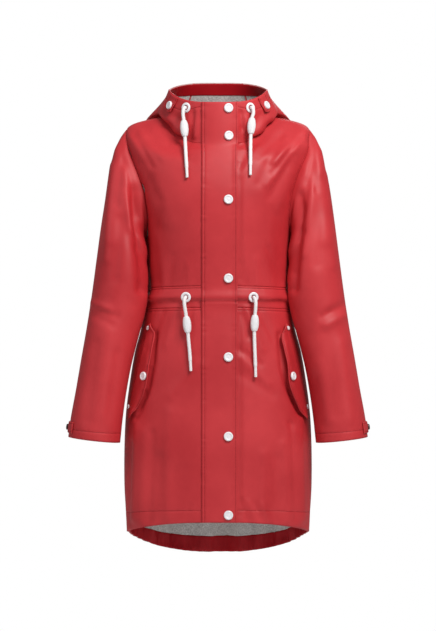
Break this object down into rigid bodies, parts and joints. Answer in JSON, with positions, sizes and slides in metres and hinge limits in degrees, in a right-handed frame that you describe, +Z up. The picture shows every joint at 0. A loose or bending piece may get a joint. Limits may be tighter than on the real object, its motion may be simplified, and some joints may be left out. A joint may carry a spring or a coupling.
{
  "type": "hooded raincoat",
  "caption": "Thigh-length women's raincoat with hood, drawcord waist, snap placket and slanted pocket flaps, filled out as worn.",
  "frame": {"origin": "middle of the base of the neck, level with the shoulder points' neck end, where the wearer's shoulders carry the coat", "axes": "+Z up along the wearer, the coat's front faces -Y, +X is to the right of someone who looks at its front"},
  "size_m": [0.6156, 0.2859, 0.987],
  "materials": {
    "coated_cloth": "red coated rain cloth with a smooth satin face and a grey knit back",
    "facing_cloth": "the same red coated cloth, turned in",
    "white_metal": "white lacquered snap, rivet and eyelet",
    "white_plastic": "white moulded bead",
    "white_cord": "white braided cord",
    "dark_metal": "dark burnished snap"
  },
  "bodies": {
    "root": {"bodice_front_left": "coated_cloth", "bodice_front_right": "coated_cloth", "bodice_back": "coated_cloth", "waist_band_front_left": "coated_cloth", "waist_band_front_right": "coated_cloth", "waist_band_back": "coated_cloth", "skirt_front_left": "coated_cloth", "skirt_front_right": "coated_cloth", "skirt_back": "coated_cloth", "sleeve_front_left": "coated_cloth", "sleeve_back_left": "coated_cloth", "sleeve_front_right": "coated_cloth", "sleeve_back_right": "coated_cloth", "placket": "coated_cloth", "hood_left": "coated_cloth", "hood_right": "coated_cloth", "hood_middle": "coated_cloth", "cuff_tab_left": "coated_cloth", "cuff_tab_right": "coated_cloth", "hood_tab_left": "coated_cloth", "hood_tab_right": "coated_cloth", "pocket_flap_left": "coated_cloth", "pocket_flap_right": "coated_cloth", "hem_facing_back": "facing_cloth", "hood_facing": "facing_cloth", "placket_snap_1": "white_metal", "placket_snap_2": "white_metal", "placket_snap_3": "white_metal", "placket_snap_4": "white_metal", "placket_snap_5": "white_metal", "placket_snap_6": "white_metal", "placket_snap_7": "white_metal", "flap_snap_left": "white_metal", "hood_tab_snap_left": "white_metal", "flap_rivet_top_left": "white_metal", "flap_rivet_foot_left": "white_metal", "cuff_snap_left": "dark_metal", "flap_snap_right": "white_metal", "hood_tab_snap_right": "white_metal", "flap_rivet_top_right": "white_metal", "flap_rivet_foot_right": "white_metal", "cuff_snap_right": "dark_metal", "drawcord_hood_left": "white_cord", "stopper_hood_left": "white_plastic", "eyelet_hood_left": "white_metal", "drawcord_hood_right": "white_cord", "stopper_hood_right": "white_plastic", "eyelet_hood_right": "white_metal", "drawcord_waist_left": "white_cord", "stopper_waist_left": "white_plastic", "eyelet_waist_left": "white_metal", "drawcord_waist_right": "white_cord", "stopper_waist_right": "white_plastic", "eyelet_waist_right": "white_metal"}
  },
  "joints": []
}
